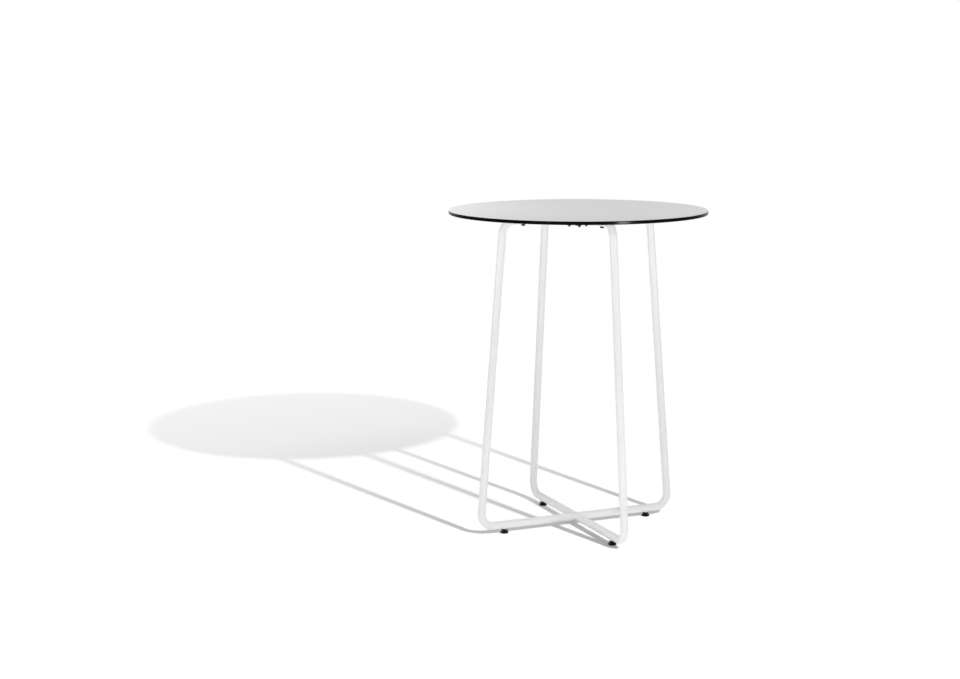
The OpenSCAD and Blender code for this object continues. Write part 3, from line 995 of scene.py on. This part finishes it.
def nut_grid(low, high):
    """Closed ring of rows round a nut, from the lower end of its bore to the upper end."""
    wide = NUT_BORE_R + BORE_COUNTERSINK
    return np.stack([
        hex_ring(NUT_BORE_R, low + BORE_COUNTERSINK),
        hex_ring(wide, low),
        *turned_hexagon_rows(NUT_FLATS, low, high),
        hex_ring(wide, high),
        hex_ring(NUT_BORE_R, high - BORE_COUNTERSINK),
    ])


nuts_low, nuts_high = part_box("centre_nuts")
add_piece("hex_nuts", at_each(nut_grid(nuts_low[2], nuts_high[2]), stud_places),
          black_steel, "table", ["centre_nuts"], close_rows=True)

# %% Make their washers
WASHER_R = 0.005
WASHER_BORE_R = 0.00275
WASHER_BREAK = 0.00015


def washer_profile(low, high):
    """Section of a washer with broken edges, as a closed ring of points."""
    b = WASHER_BREAK
    inner, outer = WASHER_BORE_R, WASHER_R
    return [(inner, low + b), (inner + b, low), (outer - b, low), (outer, low + b),
            (outer, high - b), (outer - b, high), (inner + b, high), (inner, high - b)]


washers_low, washers_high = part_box("centre_washers")
washer = revolve(washer_profile(washers_low[2], washers_high[2]), HEX_COLUMNS)
add_piece("flat_washers", at_each(washer, stud_places), black_steel, "table",
          ["centre_washers"], close_rows=True)

# %% [markdown]
# ## Weld beads
# A welder lays a bead as a row of small pools, each frozen with a curved edge over the last. A
# bead here is a section carried along the joint: from the toe on one part over a slightly
# domed face to the toe on the other, and back through the metal. The ripple is a wave along
# the joint whose phase bends across the face.

# %% Lay the face of a bead
BEAD_LEG = 0.0025
BEAD_DOME = 0.00022
RIPPLE_HEIGHT = 0.00007
RIPPLE_BEND = 2.2           # how far the wave lags at the toes, in radians
FACE_ROWS = 9
UNDER_SKIN = 0.0005         # how far a bead reaches into the metal


def bead_face(first_toe, second_toe, outward, ripple_phase, swell):
    """Rows of points across a bead, from toe to toe.

    Between the toes the face is lifted along the outward normals by a dome that is highest
    in the middle, and by a wave whose crests lag behind at the toes. swell scales both."""
    across = np.linspace(0, 1, FACE_ROWS)[:, None]
    arch = 4 * across * (1 - across)
    wave = np.cos(ripple_phase[None, :] + RIPPLE_BEND * (1 - arch))
    lift = arch * (BEAD_DOME + RIPPLE_HEIGHT * wave) * swell[None, :]
    straight = first_toe * (1 - across[..., None]) + second_toe * across[..., None]
    return straight + outward * lift[..., None]


def unit(vectors):
    """Vectors of length one: each is divided by its own length."""
    return vectors / np.linalg.norm(vectors, axis=-1, keepdims=True)


print("bead:", round(BEAD_LEG * 1000, 2), "mm legs, domed by", round(BEAD_DOME * 1000, 2), "mm")

# %% Weld the upper rails to the hub
HUB_RIPPLES = 48
HUB_COLUMNS = 480

loop_low, loop_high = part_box("main_loop")
hub_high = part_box("centre_hub")[1]
hub_r = max(hub_high[0], hub_high[1])
tube_r = (loop_high[1] - loop_low[1]) / 2
upper_rail_z = loop_high[2] - tube_r
lower_rail_z = loop_low[2] + tube_r


def hub_bead():
    """Closed bead round the end of a rail along X.

    At an angle round the rail, one toe lies a leg's length out along the rail and the other
    a leg's length out on the hub, whose surface is the square root of its squared radius less
    the squared offset from the rail's middle plane."""
    angle = angles(HUB_COLUMNS)
    s, c = np.sin(angle), np.cos(angle)

    def on_hub(r, inside=0.0):
        """Points at a distance from the rail's middle line, on the hub's wall or inside it."""
        x = np.sqrt((hub_r - inside) ** 2 - (r * s) ** 2)
        return np.stack([x, r * s, upper_rail_z + r * c], axis=-1)

    rail_toe = on_hub(tube_r) + np.array([BEAD_LEG, 0.0, 0.0])
    hub_toe = on_hub(tube_r + BEAD_LEG)
    outward = unit(np.stack([np.ones_like(s), s, c], axis=-1))
    face = bead_face(rail_toe, hub_toe, outward, HUB_RIPPLES * angle, np.ones_like(angle))
    root = on_hub(tube_r - UNDER_SKIN, UNDER_SKIN)
    return np.concatenate([face, root[None]])


add_piece("hub_beads", [turned(hub_bead(), degrees) for degrees in QUARTER_TURNS.values()],
          frame_paint, "table", ["hub_welds"], close_rows=True)

# %% [markdown]
# ## The lower crossing
# Where two equal tubes cross, a ball that rolls along the corner touches both, and the two lines
# of contact are the toes of the bead. At the side, the bead is a leg wide on each tube. Over the
# top the tubes run into each other and the bead narrows to nothing, so both ends are poles.

# %% Weld the lower crossing
CROSSING_RIPPLES = 22       # from the top of the rails to their underside
CROSSING_COLUMNS = 220
BEAD_END = math.radians(3)


def crossing_bead():
    """Bead in the corner between a rail along X and a rail along Y.

    At an angle from the top, a toe on the X rail lies at the tube's radius plus the leg,
    times the sine, along it, and the other toe is its mirror image. The normal between them
    goes with the sine along both rails and with twice the cosine upwards."""
    angle = np.linspace(BEAD_END, np.pi - BEAD_END, CROSSING_COLUMNS)
    s, c = np.sin(angle), np.cos(angle)
    near, far, height = tube_r * s, (tube_r + BEAD_LEG) * s, lower_rail_z + tube_r * c
    x_toe = np.stack([far, near, height], axis=-1)
    y_toe = np.stack([near, far, height], axis=-1)
    outward = unit(np.stack([s, s, 2 * c], axis=-1))
    face = bead_face(x_toe, y_toe, outward, 2 * CROSSING_RIPPLES * angle, s ** 2)
    inner = (tube_r - UNDER_SKIN) * s
    root = np.stack([inner, inner, lower_rail_z + (tube_r - UNDER_SKIN) * c], axis=-1)
    section = np.concatenate([face, root[None]])
    ends = np.broadcast_to(section.mean(axis=0, keepdims=True), section.shape)
    return np.concatenate([ends[:, :1], section, ends[:, -1:]], axis=1)


add_piece("crossing_beads", [turned(crossing_bead(), degrees) for degrees in QUARTER_TURNS.values()],
          frame_paint, "table", ["crossing_welds"],
          close_rows=True, close_columns=False)

# %% [markdown]
# ## Lamps for the tubes
# The tubes are almost evenly bright from side to side, and as bright close under the top as lower
# down. So two soft lamps stand left and right of the camera at the height of the top, which then
# doesn't shade them, and their beams are brightest there. They reach neither the floor, where
# their pale shadows would blur the one that the photograph shows, nor the black edge and the
# face, which would mirror them. The lower rails look up at the top's underside and get little
# from the room, so a higher and narrower beam falls on them from the left.

# %% Light the tubes
TOP_MIDDLE = Vector((0.0, 0.0, top_middle))
BEAM_AIM = Vector((0.0, 0.0, 0.8))
SOFT_REACH = 3.2
SOFT_SIDES = {"left": (-50, 0.48), "right": (50, 0.38)}     # degrees from the camera, and level
SOFT_SIZE = (0.8, 0.4)
SOFT_SPREAD = math.radians(30)
BASE_PLACE = Vector((-1.3, -2.5, 2.2))
BASE_AIM = Vector((0.0, 0.1, -0.1))     # a little low, so the beam stays under the legs' middle
BASE_SIZE = (0.6, 0.3)
BASE_LEVEL = 0.62
BASE_SPREAD = math.radians(9)


def beside_camera(degrees):
    """Level direction from the table, at an angle from where the camera stands."""
    return Matrix.Rotation(math.radians(degrees), 3, "Z") @ -view_away


for side, (degrees, level) in SOFT_SIDES.items():
    soft_place = BEAM_AIM + SOFT_REACH * beside_camera(degrees)
    add_lamp(f"soft_lamp_{side}", soft_place, BEAM_AIM, SOFT_SIZE, level, SOFT_SPREAD,
             hidden_from=[floor, core_board, decor_sheet])
add_lamp("base_lamp", BASE_PLACE, BASE_AIM, BASE_SIZE, BASE_LEVEL, BASE_SPREAD,
         hidden_from=[floor, core_board, decor_sheet])

# %% [markdown]
# ## Lamps for the top
# The edge has one glint, which is a pale strip in the dark side of the studio, standing below
# the top, where the upright edge sends the camera's view. The face gets paler towards both ends,
# most of all at the left, as it would with a pale card over each of them. The cards light the
# face only, and its gloss doesn't show them.

# %% Light the top
GLINT_PLACE = Vector((0.489, -2.470, 0.53))
GLINT_SIZE = (0.35, 0.2)
GLINT_LEVEL = 0.24
CARD_REACH = 0.69
CARD_HEIGHT = Vector((0.0, 0.0, 1.0))
CARD_SIZE = (0.3, 0.3)
CARD_SIDES = {"left": (-90, 0.52), "right": (90, 0.17)}     # degrees from the camera, and level

add_lamp("glint_strip", GLINT_PLACE, TOP_MIDDLE, GLINT_SIZE, GLINT_LEVEL, receivers=[core_board])
for side, (degrees, level) in CARD_SIDES.items():
    card_place = CARD_REACH * beside_camera(degrees) + CARD_HEIGHT
    card = add_lamp(f"{side}_card", card_place, TOP_MIDDLE, CARD_SIZE, level,
                    receivers=[decor_sheet])
    card.visible_glossy = False
